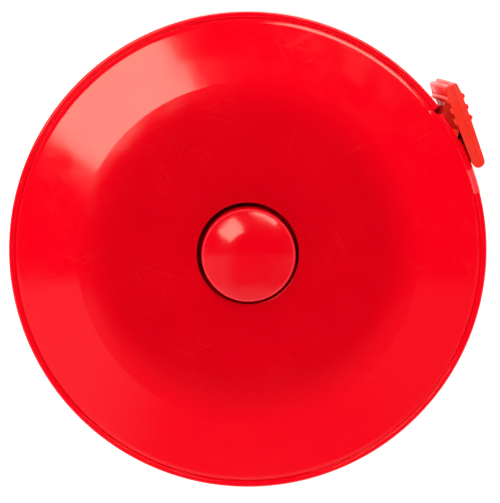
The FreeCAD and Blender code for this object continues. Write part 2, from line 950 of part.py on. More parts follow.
plate_half = tab_half(
    "tab_plate",
    [
        ("tab_foot", "tab_seam", "tab_foot_round", "left"),
        ("tab_plate_end", "tab_seam"),
        ("tab_plate_end", "tab_thickness", "tab_plate_round", "left"),
        ("tab_foot_round", "tab_thickness"),
    ],
    "tab_thickness",
)
lug = new_sketch(plate_half, "lug_outline", "XY_Plane")
outline(
    lug,
    [
        ("lug_root_low", "lug_root_level"),
        ("lug_root_high", "lug_root_level"),
        ("lug_tip_high_x", "lug_tip_high_y"),
        ("lug_tip_low_x", "lug_tip_low_y"),
    ],
)
pad(plate_half, lug, "lug", "lug_height", "lug_bottom")
slit = box(
    "lug_slit",
    ("coil_outer - slit_half", "slit_start", "slit_bottom"),
    ("slit_width", "slit_length", "slit_height"),
)
slit_plate = cut("tab_plate_slit", plate_half, slit)
keep(cut("tab_plate_drilled", slit_plate, rivet_holes("lug_holes")), "pull_tab")

cover_half = tab_half(
    "tab_cover",
    [
        ("tab_foot_round", "", "tab_foot_round", "left"),
        ("tab_cover_end", ""),
        ("tab_cover_end", "tab_seam", "tab_cover_round", "left"),
        ("tab_foot", "tab_seam"),
    ],
    "",
)
keep(cover_half, "tab_cover")

rivets = []
for i, level in enumerate(RIVET_LEVELS):
    shank_place = (RIVET_START, "rivet_place", level)
    low_head = (RIVET_START + " - rivet_head_thickness", "rivet_place", level)
    high_head = (RIVET_START + " + rivet_length", "rivet_place", level)
    shank = rod("rivet_shank_%d" % i, "rivet_radius", "rivet_length", shank_place)
    heads = [
        rod("rivet_head_%d_%d" % (i, k), "rivet_head_radius", "rivet_head_thickness", place)
        for k, place in enumerate([low_head, high_head])
    ]
    rivets.append(fuse("rivet_%d" % i, [shank] + heads))
keep(group("tab_rivet_pair", rivets), "tab_rivets")

# ---------------------------------------------------------------- check and write

doc.recompute()
for item in doc.Objects:
    if "Invalid" in item.State or "Error" in item.State:
        raise RuntimeError("%s did not compute: %s" % (item.Name, item.State))
for node in nodes:
    if node.Shape.isNull() or not node.Shape.isValid():
        raise RuntimeError(node.Label + " has no valid shape")
for node in nodes:
    node.Shape.exportStep("parts/%s.step" % node.Label)
    print("%-20s %d solids %9.3f mm3" % (node.Label, len(node.Shape.Solids), node.Shape.Volume))
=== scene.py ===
import json
import math

import bmesh
import bpy
from mathutils import Matrix, Vector


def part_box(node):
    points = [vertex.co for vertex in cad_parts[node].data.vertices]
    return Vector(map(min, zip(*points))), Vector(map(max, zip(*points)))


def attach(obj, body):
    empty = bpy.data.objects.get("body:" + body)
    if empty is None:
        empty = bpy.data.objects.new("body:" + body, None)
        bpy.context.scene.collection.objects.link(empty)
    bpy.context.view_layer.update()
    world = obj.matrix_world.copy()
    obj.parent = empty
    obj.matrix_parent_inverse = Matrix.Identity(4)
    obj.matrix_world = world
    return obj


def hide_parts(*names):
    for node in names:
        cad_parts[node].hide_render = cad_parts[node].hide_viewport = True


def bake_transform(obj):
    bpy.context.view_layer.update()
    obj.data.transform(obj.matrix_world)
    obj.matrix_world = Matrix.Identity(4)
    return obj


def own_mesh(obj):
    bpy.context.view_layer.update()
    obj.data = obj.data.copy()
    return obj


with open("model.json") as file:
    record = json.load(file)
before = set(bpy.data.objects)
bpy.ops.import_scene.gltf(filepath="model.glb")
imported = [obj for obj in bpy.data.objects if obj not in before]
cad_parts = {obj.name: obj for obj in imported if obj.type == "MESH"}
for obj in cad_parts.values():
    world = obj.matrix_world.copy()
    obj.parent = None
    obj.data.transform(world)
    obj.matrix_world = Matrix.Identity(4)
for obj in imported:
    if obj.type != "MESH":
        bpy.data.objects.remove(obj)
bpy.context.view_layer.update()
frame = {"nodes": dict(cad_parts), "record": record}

# A pocket tape measure lying on its back. Shapes are worked out in millimetres and turned into
# metres when a mesh is made. Azimuths are in degrees from +X towards +Y.
MM = 0.001


def span(node):
    """Lowest and highest corner of a CAD node, in millimetres."""
    low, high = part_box(node)
    return low / MM, high / MM


front_low, front_high = span("front_shell")
back_low, _ = span("back_shell")
button_low, button_high = span("push_button")
tab_low, tab_high = span("pull_tab")
leader_low, leader_high = span("tape_leader")
spring_low, spring_high = span("return_spring")

# case
CASE_R = -front_low.x
CASE_TOP = front_high.z
PARTING = front_low.z
WALL = 1.2
INNER_R = CASE_R - WALL
PLATEAU_R = 17.8
CREASE_Z = CASE_TOP - 0.5
BAND_DROP = 1.6
RIM_Z = CREASE_Z - BAND_DROP
GROOVE_R = CASE_R - 0.65
GROOVE_HALF = 0.16
GROOVE_DEPTH = 0.3
HOLE_R = 5.3
SEAM = 0.15
ROLL_INSET = 1.1
ROLL_ROUND = 2.0
CREASE_ROUND = 0.1
BAND_ROUND = 9.0
MID_BULGE, ROLL_BULGE = 0.94, 0.97  # share of the straight slope that the band has fallen
CROWN_R, CROWN_DROP, CROWN_ROUND = 16.0, 0.26, 20.0
HOLE_ROUND = 0.12
COLLAR_R = 6.2
COLLAR_DROP = 0.8
SHOULDER_R = PLATEAU_R - 0.3
INNER_TOP = RIM_Z - 1.1
SOCKET_BOSS_R = 4.2
SOCKET_BOSS_RISE = 1.0
SOCKET_R = 2.0
SOCKET_FLOOR = 0.6
LIP_GAP = 0.05
LIP_THICK = 0.5
LIP_RISE = 0.8
LIP_ROOT, LIP_FILLET = 0.7, 1.3
SCREW_CIRCLE = 21.4
SCREW_AZIMUTH = 80.0
SCREW_BOSS_R, SCREW_HEAD_R = 2.2, 1.6
SCREW_BOSS_LOW, SCREW_HEAD_HIGH = 1.5, 2.0
BOSS_GAP = 0.02

# nose and mouth
NOSE_R = 25.1
NOSE_START, NOSE_END = 14.3, 37.3
NOSE_STEP = 0.02  # degrees
NOSE_RIM = [(0.5, 0.29, 0.3), (0.12, 0.58, 0.2), (0.0, 0.9, 0.2)]  # inset, drop, rounding
TAPE_ANGLE = -14.0
TAPE_LINE = 17.0
MOUTH_HALF = 1.6
MOUTH_LOW, MOUTH_HIGH = 2.7, 10.4
MOUTH_INSIDE, MOUTH_OUTSIDE = 14.5, 24.0
MOUTH_CLEAR = 2.0  # the mouth's cut in the back shell goes past the lip
NOSE_LIP_START, NOSE_LIP_END = (19.6, 14.42), (21.95, 12.45)
NOSE_LIP_R, NOSE_LIP_STEPS = 2.6, 16
NOTCH_START = (19.33, 14.73)
NOTCH_OUTSIDE = [(25.0, 13.6), (23.0, 17.5), (20.7, 15.8)]

# button
BUTTON_TOP = button_high.z
BUTTON_R = 4.9
BUTTON_BORE = 4.1
BUTTON_FLANGE_R = button_high.x
BUTTON_DROP = 0.9
BUTTON_LEAN = math.radians(3.0)
BUTTON_SINK = 0.03
BUTTON_ASIDE = (0.08, -0.09)
BUTTON_SHOULDER_R = BUTTON_R - 0.4
BUTTON_CORNER_Z = BUTTON_TOP - BUTTON_DROP - 0.16
BUTTON_CORNER = 0.5
BUTTON_COLUMNS = 180
DOME_STEPS = 16
LEAN_FADE = 0.6  # the lean comes in over this height above the case's top
ASIDE_FADE = 2.0  # and the shift to one side over this height above the flange
FLANGE_Z = button_low.z + 0.7
ROOF_Z = button_low.z + 4.7
STEM_R = 2.75
KEY_HALF = 1.55
KEY_DEEP = 3.9

# return spring
WIRE_R = 0.2
WIRE_SIDES = 10
SPRING_TURNS = 5
SPRING_STEPS = 32

# pull tab
TAB_AZIMUTH = 20.0
TAB_TOP, TAB_BOTTOM = tab_high.z, tab_low.z
TAB_FACE_R = 25.15
TAB_ASIDE = 0.05
TAB_THICK = 1.33
TAB_SEAM = 0.55
TAB_LONG = 9.2
TAB_TWIST = 7.5
TAB_SKEW = 0.5
TAB_PIVOT = 0.4
TAB_SLICES = 12
TAB_EDGE = 0.09
TAB_SHARP = 40.0  # degrees
FOOT_R = TAB_THICK / 2
FOOT_END = 190.0  # degrees
RIB_R = 0.33
RIB_PITCH = 1.19
FIRST_RIB = 5.3
RIBS = 3
BEND_STEPS = 8
LUG_NEAR, LUG_FAR = 0.75, 1.35
LUG_TIP = 16.37
LUG_NECK = 17.6
LUG_NEAR_END, LUG_FAR_END = 21.3, 18.6
LUG_ROOT_Z = 9.3
LUG_COVER = 0.2
LUG_OVERLAP = 0.2

# tape
TAPE_THICK = 0.34
TAPE_HOLD = 15.5
TAPE_FREE = 16.6
TAPE_ROWS = [0.3, 4.0, 8.0, 12.0, TAPE_HOLD]
TAPE_STEPS = 12

COLUMNS = 360
ARC_STEPS = 6
CIRCLE_STEPS = 48
SHARP = 32.0  # degrees
MOST_OF_SIDE = 0.49  # the most of a side that the arc at one corner takes
ON_AXIS = 1e-6
TOOL_SPARE = 1.0  # how far a cutting tool reaches past what it cuts


def rounded(corners):
    """Turns (across, up, radius) corners into points, with an arc at each corner with a radius."""
    points = []
    count = len(corners)
    for i, corner in enumerate(corners):
        here = Vector(corner[:2])
        radius = corner[2] if len(corner) > 2 else 0.0
        if not radius:
            points.append(here)
            continue
        before = Vector(corners[i - 1][:2]) - here
        after = Vector(corners[(i + 1) % count][:2]) - here
        half = before.angle(after) / 2
        most = MOST_OF_SIDE * min(before.length, after.length)
        reach = min(radius / math.tan(half), most)
        radius = reach * math.tan(half)
        before.normalize()
        after.normalize()
        centre = here + (before + after).normalized() * (radius / math.sin(half))
        first = here + before * reach - centre
        turn = first.angle_signed(here + after * reach - centre)
        for k in range(ARC_STEPS + 1):
            points.append(centre + Matrix.Rotation(-turn * k / ARC_STEPS, 2) @ first)
    return points


def placed(name, data):
    """Puts an object into the scene."""
    thing = bpy.data.objects.new(name, data)
    bpy.context.scene.collection.objects.link(thing)
    return thing


def crisp_edges(bm, sharp):
    """Smooths every face, and leaves edges sharper than the angle given crisp."""
    for face in bm.faces:
        face.smooth = True
    for edge in bm.edges:
        edge.smooth = len(edge.link_faces) == 2 and edge.calc_face_angle(0) < math.radians(sharp)


def finish_mesh(name, bm, sharp=SHARP):
    """Turns a mesh in millimetres into an object in metres."""
    bmesh.ops.scale(bm, vec=(MM, MM, MM), verts=bm.verts)
    bmesh.ops.recalc_face_normals(bm, faces=bm.faces)
    crisp_edges(bm, sharp)
    mesh = bpy.data.meshes.new(name)
    bm.to_mesh(mesh)
    bm.free()
    return placed(name, mesh)


def join_rings(bm, rings):
    """Walls between each closed ring of points and the next."""
    for low, high in zip(rings, rings[1:]):
        for i in range(len(low)):
            k = (i + 1) % len(low)
            bm.faces.new((low[i], low[k], high[k], high[i]))


def lathe(profile_at, columns, closed=True):
    """Turns a profile about Z. columns lists (azimuth, key) pairs; profile_at(key) gives points.

    A closed profile is a ring section. An open one starts and ends on the axis.
    """
    bm = bmesh.new()
    axis = {}
    rows = []
    for azimuth, key in columns:
        turn = math.radians(azimuth)
        row = []
        for i, point in enumerate(profile_at(key)):
            if point.x < ON_AXIS:
                if i not in axis:
                    axis[i] = bm.verts.new((0, 0, point.y))
                row.append(axis[i])
            else:
                row.append(
                    bm.verts.new(
                        (point.x * math.cos(turn), point.x * math.sin(turn), point.y)
                    )
                )
        rows.append(row)
    height = len(rows[0])
    for i, row in enumerate(rows):
        after = rows[(i + 1) % len(rows)]
        for k in range(height if closed else height - 1):
            up = (k + 1) % height
            corners = []
            for vert in (row[k], after[k], after[up], row[up]):
                if vert not in corners:
                    corners.append(vert)
            if len(corners) > 2:
                bm.faces.new(corners)
    return bm


def even_columns(count=COLUMNS):
    return [(360.0 * i / count, "plain") for i in range(count)]


def case_columns():
    """Even columns, with a pair at each end of the nose so that its ends are crisp steps."""
    columns = []
    for i in range(COLUMNS):
        azimuth = 360.0 * i / COLUMNS
        inside = NOSE_START < azimuth < NOSE_END
        columns.append((azimuth, "nose" if inside else "plain"))
    edges = [(NOSE_START - NOSE_STEP, "plain"), (NOSE_START, "nose")]
    edges += [(NOSE_END, "nose"), (NOSE_END + NOSE_STEP, "plain")]
    return sorted(columns + edges)


def outer_profile(key):
    """The outer side of a shell from the crease to the seam, as on the front shell.

    The nose has a narrow rounded chamfer in place of the groove and the rim, and it stands a
    little proud. Its rim has as many corners as the plain one, because the lathe joins the two.
    """
    slope = BAND_DROP / (GROOVE_R - GROOVE_HALF - PLATEAU_R)
    roll_r = CASE_R - ROLL_INSET
    roll_z = CREASE_Z - (roll_r - PLATEAU_R) * slope * ROLL_BULGE
    mid_r = (PLATEAU_R + roll_r) / 2
    mid_z = CREASE_Z - (mid_r - PLATEAU_R) * slope * MID_BULGE
    band = [
        (PLATEAU_R, CREASE_Z, CREASE_ROUND),
        (mid_r, mid_z, BAND_ROUND),
        (roll_r, roll_z, ROLL_ROUND),
    ]
    if key == "nose":
        rim = [(GROOVE_R, RIM_Z - 0.02, 0.06)]
        rim += [(NOSE_R - inset, RIM_Z - drop, radius) for inset, drop, radius in NOSE_RIM]
        side_r = NOSE_R
    else:
        rim = [
            (GROOVE_R - GROOVE_HALF, RIM_Z, 0.08),
            (GROOVE_R, RIM_Z - GROOVE_DEPTH, 0.06),
            (GROOVE_R + GROOVE_HALF, RIM_Z, 0.12),
            (CASE_R, RIM_Z, 0.42),
        ]
        side_r = CASE_R
    seam = [(side_r, PARTING + SEAM), (side_r - SEAM, PARTING)]
    return band + rim + seam


def front_profile(key):
    """The front shell's section: a faintly crowned top, the outer side, and the inside."""
    top = [(HOLE_R, CASE_TOP, HOLE_ROUND), (CROWN_R, CASE_TOP - CROWN_DROP, CROWN_ROUND)]
    inside = [
        (INNER_R, PARTING),
        (INNER_R, INNER_TOP, 0.4),
        (SHOULDER_R, CREASE_Z - WALL, 1.0),
        (COLLAR_R, CASE_TOP - WALL, 0.2),
        (COLLAR_R, CASE_TOP - WALL - COLLAR_DROP),
        (HOLE_R, CASE_TOP - WALL - COLLAR_DROP, 0.1),
    ]
    return rounded(top + outer_profile(key) + inside)


def back_profile(key):
    """The same outer side the other way up, with a locating lip and a socket for the post."""
    outside = [(x, CREASE_Z - z, *rest) for x, z, *rest in outer_profile(key)[:-2]]
    side_r = NOSE_R if key == "nose" else CASE_R
    seam = [(side_r, PARTING - SEAM), (side_r - SEAM, PARTING)]
    lip_r = INNER_R - LIP_GAP
    lip = [
        (lip_r, PARTING),
        (lip_r, PARTING + LIP_RISE, 0.1),
        (lip_r - LIP_THICK, PARTING + LIP_RISE, 0.1),
        (lip_r - LIP_THICK, PARTING - LIP_ROOT),
        (INNER_R, PARTING - LIP_FILLET),
    ]
    inside = [
        (INNER_R, MOUTH_LOW, 0.4),
        (SHOULDER_R, WALL, 1.0),
        (SOCKET_BOSS_R, WALL, 0.2),
        (SOCKET_BOSS_R, WALL + SOCKET_BOSS_RISE),
        (SOCKET_R, WALL + SOCKET_BOSS_RISE),
        (SOCKET_R, SOCKET_FLOOR),
        (0.0, SOCKET_FLOOR),
    ]
    return rounded([(0.0, 0.0)] + outside + seam + lip + inside)


def solid_between(name, outline_points, low, high):
    """An upright prism."""
    bm = bmesh.new()
    below = [bm.verts.new((x, y, low)) for x, y in outline_points]
    above = [bm.verts.new((x, y, high)) for x, y in outline_points]
    bm.faces.new(below)
    bm.faces.new(above)
    join_rings(bm, [below, above])
    return finish_mesh(name, bm)


def circle_points(x, y, radius):
    turns = [2 * math.pi * i / CIRCLE_STEPS for i in range(CIRCLE_STEPS)]
    return [(x + radius * math.cos(t), y + radius * math.sin(t)) for t in turns]


def arc_points(start, finish, radius, steps):
    """Points on the shorter arc from start to finish that bulges to the left of the way."""
    start, finish = Vector(start), Vector(finish)
    chord = finish - start
    side = Vector((-chord.y, chord.x)).normalized()
    centre = (start + finish) / 2 - side * math.sqrt(radius**2 - (chord.length / 2) ** 2)
    first, last = start - centre, finish - centre
    turn = first.angle_signed(last)
    return [centre + Matrix.Rotation(-turn * k / steps, 2) @ first for k in range(steps + 1)]


def from_tape_frame(points):
    """From the tape's frame, whose y runs along the tape, to the part's."""
    turn = Matrix.Rotation(math.radians(TAPE_ANGLE), 2)
    return [tuple(turn @ Vector(p)) for p in points]


def mouth_outline():
    """The slot that the tape runs out through, seen from above."""
    low, high = TAPE_LINE - MOUTH_HALF, TAPE_LINE + MOUTH_HALF
    corners = [
        (low, MOUTH_INSIDE),
        (high, MOUTH_INSIDE),
        (high, MOUTH_OUTSIDE),
        (low, MOUTH_OUTSIDE),
    ]
    return from_tape_frame(corners)


def notch_outline():
    """The notch between the rim's cut end and the nose's rounded lip."""
    lip = arc_points(NOSE_LIP_START, NOSE_LIP_END, NOSE_LIP_R, NOSE_LIP_STEPS)
    return [NOTCH_START] + [tuple(p) for p in lip] + NOTCH_OUTSIDE


def carve(piece, tool, operation="DIFFERENCE"):
    """Cuts or joins a tool into a piece and deletes the tool."""
    change = piece.modifiers.new("carve", "BOOLEAN")
    change.operation = operation
    change.solver = "EXACT"
    change.object = tool
    graph = bpy.context.evaluated_depsgraph_get()
    mesh = bpy.data.meshes.new_from_object(piece.evaluated_get(graph))
    piece.modifiers.clear()
    old = piece.data
    piece.data = mesh
    bpy.data.meshes.remove(old)
    mesh.name = piece.name
    bpy.data.objects.remove(tool)


def mark_sharp(piece, sharp=SHARP):
    """Cleans a carved piece and marks its crisp edges again."""
    bm = bmesh.new()
    bm.from_mesh(piece.data)
    bmesh.ops.dissolve_degenerate(bm, dist=1e-8, edges=bm.edges)
    crisp_edges(bm, sharp)
    bm.to_mesh(piece.data)
    bm.free()


def screw_places():
    angles = [math.radians(SCREW_AZIMUTH + 120.0 * i) for i in range(3)]
    return [(SCREW_CIRCLE * math.cos(a), SCREW_CIRCLE * math.sin(a)) for a in angles]


# ---------------------------------------------------------------- case

front = finish_mesh("front_case", lathe(front_profile, case_columns()))
below, above = PARTING - TOOL_SPARE, CASE_TOP + TOOL_SPARE
carve(front, solid_between("mouth_tool", mouth_outline(), below, MOUTH_HIGH))
carve(front, solid_between("notch_tool", notch_outline(), below, above))
mark_sharp(front)

back = finish_mesh("back_case", lathe(back_profile, case_columns(), closed=False))
for x, y in screw_places():
    boss, head = circle_points(x, y, SCREW_BOSS_R), circle_points(x, y, SCREW_HEAD_R)
    carve(back, solid_between("boss", boss, SCREW_BOSS_LOW, PARTING - BOSS_GAP), "UNION")
    carve(back, solid_between("head_tool", head, -TOOL_SPARE, SCREW_HEAD_HIGH))
carve(back, solid_between("mouth_tool", mouth_outline(), MOUTH_LOW, PARTING + MOUTH_CLEAR))
mark_sharp(back)

# ---------------------------------------------------------------- button


def button_profile(_):
    """A shallow dome with rounded shoulders on a flanged cup, with a stem in its middle."""
    dome_r = (BUTTON_SHOULDER_R**2 + BUTTON_DROP**2) / (2 * BUTTON_DROP)
    dome = []
    for k in range(DOME_STEPS):
        r = BUTTON_SHOULDER_R * k / DOME_STEPS
        dome.append((r, BUTTON_TOP - dome_r + math.sqrt(dome_r**2 - r**2)))
    lower = [
        (BUTTON_R, BUTTON_CORNER_Z, BUTTON_CORNER),
        (BUTTON_R, FLANGE_Z),
        (BUTTON_FLANGE_R, FLANGE_Z, 0.15),
        (BUTTON_FLANGE_R, button_low.z, 0.15),
        (BUTTON_BORE, button_low.z, 0.1),
        (BUTTON_BORE, ROOF_Z, 0.2),
        (STEM_R, ROOF_Z, 0.2),
        (STEM_R, FLANGE_Z, 0.1),
        (0.0, FLANGE_Z),
    ]
    return rounded(dome + lower)


def share_above(vert, level, fade):
    """0 below the level in millimetres, rising to 1 over the fade."""
    return min(max((vert.co.z / MM - level) / fade, 0.0), 1.0)


button_columns = even_columns(BUTTON_COLUMNS)
button = finish_mesh("button_cap", lathe(button_profile, button_columns, closed=False))
square = ((-1, -1), (1, -1), (1, 1), (-1, 1))
keyway = [(x * KEY_HALF, y * KEY_HALF) for x, y in square]
below, above = FLANGE_Z - TOOL_SPARE, FLANGE_Z + KEY_DEEP
carve(button, solid_between("keyway_tool", keyway, below, above))
# The cap leans and sits a little to one side. Its stem stays in place.
for vert in button.data.vertices:
    share = share_above(vert, CASE_TOP, LEAN_FADE)
    vert.co.z += share * (math.tan(BUTTON_LEAN) * vert.co.y - BUTTON_SINK * MM)
    share = share_above(vert, FLANGE_Z, ASIDE_FADE)
    if vert.co.xy.length > STEM_R * MM:
        vert.co.x += share * BUTTON_ASIDE[0] * MM
        vert.co.y += share * BUTTON_ASIDE[1] * MM
mark_sharp(button)

# ---------------------------------------------------------------- pull tab

outward = Vector((math.cos(math.radians(TAB_AZIMUTH)), math.sin(math.radians(TAB_AZIMUTH))))
along = Vector((-outward.y, outward.x))
tab_corner = outward * (TAB_FACE_R + TAB_THICK) - along * TAB_ASIDE


def rib_bumps(level, up):
    """Half-round ribs along one side, met in rising order along the plate if up."""
    points = []
    order = range(RIBS) if up else reversed(range(RIBS))
    for i in order:
        centre = FIRST_RIB + RIB_PITCH * i
        for k in range(BEND_STEPS + 1):
            turn = math.pi * k / BEND_STEPS
            step = -math.cos(turn) if up else math.cos(turn)
            bulge = math.sin(turn) * RIB_R * (-1 if up else 1)
            points.append((centre + step * RIB_R, level + bulge))
    return points


def end_arc(centre, radius, first, last):
    """Points on an arc from the first angle to the last."""
    turns = [math.radians(first + (last - first) * k / BEND_STEPS) for k in range(BEND_STEPS + 1)]
    return [(centre[0] + radius * math.cos(t), centre[1] + radius * math.sin(t)) for t in turns]


def cover_points():
    """The outer ribbed half, in the tab's own frame: along the plate, and inwards."""
    foot = end_arc((FOOT_R, FOOT_R), FOOT_R, FOOT_END, 270.0)
    half = TAB_SEAM / 2
    end = end_arc((TAB_LONG - half, half), half, -90.0, 90.0)
    return foot + rib_bumps(0.0, True) + end


def plate_points():
    """The inner half, without its lug, in the same frame."""
    half = (TAB_THICK - TAB_SEAM) / 2
    middle = TAB_SEAM + half
    end = end_arc((TAB_LONG - half, middle), half, -90.0, 90.0)
    foot = end_arc((FOOT_R, FOOT_R), FOOT_R, 90.0, FOOT_END)
    return end + rib_bumps(TAB_THICK, False) + foot


def warped(point, height):
    """From the tab's frame to the part's. The lower edge leans towards the case at its end."""
    lean = (TAB_TOP - height) / (TAB_TOP - TAB_BOTTOM)
    turn = Matrix.Rotation(math.radians(TAB_TWIST) * lean, 2)
    pivot = Vector((TAB_PIVOT, TAB_THICK))
    x, y = turn @ (Vector(point) - pivot) + pivot
    x += TAB_SKEW * lean
    place = tab_corner + along * x - outward * y
    return (place.x, place.y, height)


def tab_half(name, points):
    """A half of the tab, in slices from its lower edge to its upper edge."""
    bm = bmesh.new()
    rows = []
    for k in range(TAB_SLICES + 1):
        height = TAB_BOTTOM + (TAB_TOP - TAB_BOTTOM) * k / TAB_SLICES
        rows.append([bm.verts.new(warped(p, height)) for p in points])
    join_rings(bm, rows)
    caps = [bm.faces.new(rows[0]), bm.faces.new(rows[-1])]
    edges = [e for cap in caps for e in cap.edges]
    bmesh.ops.bevel(bm, geom=edges, offset=TAB_EDGE, segments=3, affect="EDGES", profile=0.5)
    return finish_mesh(name, bm, TAB_SHARP)


plate = tab_half("tab_grip", plate_points())
cover = tab_half("tab_ribbed_cover", cover_points())


def lug_block(start, finish, far_side, top):
    """A block of the lug, from start to finish along the tape and up to the top level."""
    corners = [
        (TAPE_LINE - LUG_NEAR, start),
        (TAPE_LINE + LUG_FAR, start),
        (TAPE_LINE + LUG_FAR, far_side),
        (TAPE_LINE - LUG_NEAR, finish),
    ]
    return solid_between("lug_tool", from_tape_frame(corners), leader_low.z - LUG_COVER, top)


lug_root = lug_block(LUG_NECK - LUG_OVERLAP, LUG_NEAR_END, LUG_FAR_END, LUG_ROOT_Z)
carve(plate, lug_root, "UNION")
lug_jaw = lug_block(LUG_TIP, LUG_NECK, LUG_NECK, leader_high.z + LUG_COVER)
carve(plate, lug_jaw, "UNION")
mark_sharp(plate, TAB_SHARP)

# ---------------------------------------------------------------- tape


def tape_strip():
    """The straight tape from the coil to the lug, in rows close enough to stretch evenly."""
    bm = bmesh.new()
    half = TAPE_THICK / 2
    stretch = TAPE_FREE - TAPE_HOLD
    places = TAPE_ROWS + [TAPE_HOLD + stretch * k / TAPE_STEPS for k in range(1, TAPE_STEPS + 1)]
    rows = []
    for y in places + [LUG_NECK - LUG_OVERLAP]:
        near, far = from_tape_frame([(TAPE_LINE - half, y), (TAPE_LINE + half, y)])
        rows.append(
            [
                bm.verts.new((*near, leader_low.z)),
                bm.verts.new((*far, leader_low.z)),
                bm.verts.new((*far, leader_high.z)),
                bm.verts.new((*near, leader_high.z)),
            ]
        )
    join_rings(bm, rows)
    bm.faces.new(rows[0])
    bm.faces.new(rows[-1])
    return finish_mesh("tape_run", bm)


tape = tape_strip()

# ---------------------------------------------------------------- return spring


def spring_coil():
    """The coil under the button, in rings of wire along its helix."""
    bm = bmesh.new()
    coil_r = spring_high.x - WIRE_R
    foot = spring_low.z + WIRE_R
    rise = spring_high.z - spring_low.z - 2 * WIRE_R
    count = SPRING_TURNS * SPRING_STEPS
    rows = []
    for k in range(count + 1):
        turn = math.tau * k / SPRING_STEPS
        level = foot + rise * k / count
        row = []
        for side in range(WIRE_SIDES):
            round_wire = math.tau * side / WIRE_SIDES
            r = coil_r + WIRE_R * math.cos(round_wire)
            z = level + WIRE_R * math.sin(round_wire)
            row.append(bm.verts.new((r * math.cos(turn), r * math.sin(turn), z)))
        rows.append(row)
    join_rings(bm, rows)
    bm.faces.new(rows[0])
    bm.faces.new(reversed(rows[-1]))
    return finish_mesh("spring_coil", bm)


spring = spring_coil()

# ---------------------------------------------------------------- bodies

STANDS_FOR = [
    (front, "case", "front_shell", "case_red"),
    (back, "case", "back_shell", "case_red"),
    (button, "button", "push_button", "button_red"),
    (plate, "tape_end", "pull_tab", "tab_red"),
    (cover, "tape_end", "tab_cover", "tab_red"),
    (spring, "case", "return_spring", "spring_steel"),
]
for piece, body, node, finish in STANDS_FOR:
    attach(piece, body)
    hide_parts(node)

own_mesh(spring)

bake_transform(tape)
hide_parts("tape_leader")

# ---------------------------------------------------------------- materials


def add(tree, kind, values=None, **settings):
    """A shader node. A value that is a socket is linked, and any other is set."""
    node = tree.nodes.new("ShaderNode" + kind)
    for key, value in settings.items():
        setattr(node, key, value)
    for key, value in (values or {}).items():
        if isinstance(value, bpy.types.NodeSocket):
            tree.links.new(value, node.inputs[key])
        else:
            node.inputs[key].default_value = value
    return node


def new_material(name, **constants):
    """A material, its tree, its shader and its object coordinates."""
    material = bpy.data.materials.new(name)
    material.use_nodes = True
    tree = material.node_tree
    shader = tree.nodes["Principled BSDF"]
    for key, value in constants.items():
        shader.inputs[key.replace("_", " ")].default_value = value
    place = add(tree, "TexCoord").outputs["Object"]
    return material, tree, shader, place


def connect(tree, shader, **sockets):
    """Links sockets to the shader's inputs, named with _ for a space."""
    for key, socket in sockets.items():
        tree.links.new(socket, shader.inputs[key.replace("_", " ")])


def noise(tree, place, size_mm, detail=2.0):
    """Noise whose blobs are about the size given."""
    values = {"Vector": place, "Scale": 1.0 / MM / size_mm, "Detail": detail}
    return add(tree, "TexNoise", values).outputs["Fac"]


def remap(tree, value, low, high, to_low=0.0, to_high=1.0):
    """Maps low..high smoothly to to_low..to_high, and holds the ends beyond them."""
    values = {"Value": value, "From Min": low, "From Max": high}
    values.update({"To Min": to_low, "To Max": to_high})
    return add(tree, "MapRange", values, interpolation_type="SMOOTHSTEP").outputs["Result"]


def mathematics(tree, operation, first, second):
    return add(tree, "Math", {0: first, 1: second}, operation=operation).outputs["Value"]


def mixed(tree, factor, first, second):
    """A mix of two colours. Sockets 6 and 7 are the Mix node's colour inputs, and 2 its output."""
    return add(tree, "Mix", {0: factor, 6: first, 7: second}, data_type="RGBA").outputs[2]


def colour(red, green, blue):
    return (red, green, blue, 1.0)


def bumped(tree, height, depth_mm, strength):
    values = {"Height": height, "Distance": depth_mm * MM, "Strength": strength}
    return add(tree, "Bump", values).outputs["Normal"]


# glossy plastic
# painted light: the case is painted lighter from the first distance out to the second, as if its
# sloping band caught more light
PAINTED_LIGHT_NEAR, PAINTED_LIGHT_FAR = PLATEAU_R - 4.4, PLATEAU_R + 1.2
HAIR_SOFT = 0.06
HAIRS = [  # direction in degrees, length and width in millimetres, threshold
    (24.0, 6.0, 0.09, 0.74),
    (71.0, 4.0, 0.08, 0.75),
    (118.0, 7.0, 0.08, 0.75),
    (163.0, 5.0, 0.08, 0.75),
]
HAIR_COLOUR, HAIR_ROUGH, HAIR_RELIEF = 0.04, 0.06, 0.25
DUST = {"cell_mm": 3.0, "share": 0.3, "size": 0.03}
MARK_TINT = (0.95, 0.22, 0.18)


def scratches(tree, place, turn, length_mm, width_mm, threshold):
    """Fine straight lines that run one way across the surface, as a mask."""
    hair = add(tree, "Mapping", {"Vector": place}, vector_type="TEXTURE")
    hair.inputs["Rotation"].default_value = (0.0, 0.0, math.radians(turn))
    hair.inputs["Scale"].default_value = (length_mm * MM, width_mm * MM, length_mm * MM)
    values = {"Vector": hair.outputs["Vector"], "Scale": 1.0, "Detail": 0.0}
    field = add(tree, "TexNoise", values).outputs["Fac"]
    return remap(tree, field, threshold, threshold + HAIR_SOFT)


def specks(tree, place, cell_mm, share, size):
    """Scattered dust: a dot in a share of the cells, as a mask."""
    cells = add(tree, "TexVoronoi", {"Vector": place, "Scale": 1.0 / MM / cell_mm})
    chosen = add(tree, "SeparateColor", {"Color": cells.outputs["Color"]}).outputs["Red"]
    dot = remap(tree, cells.outputs["Distance"], size * 0.5, size, 1.0, 0.0)
    keep = mathematics(tree, "LESS_THAN", chosen, share)
    return mathematics(tree, "MULTIPLY", dot, keep)


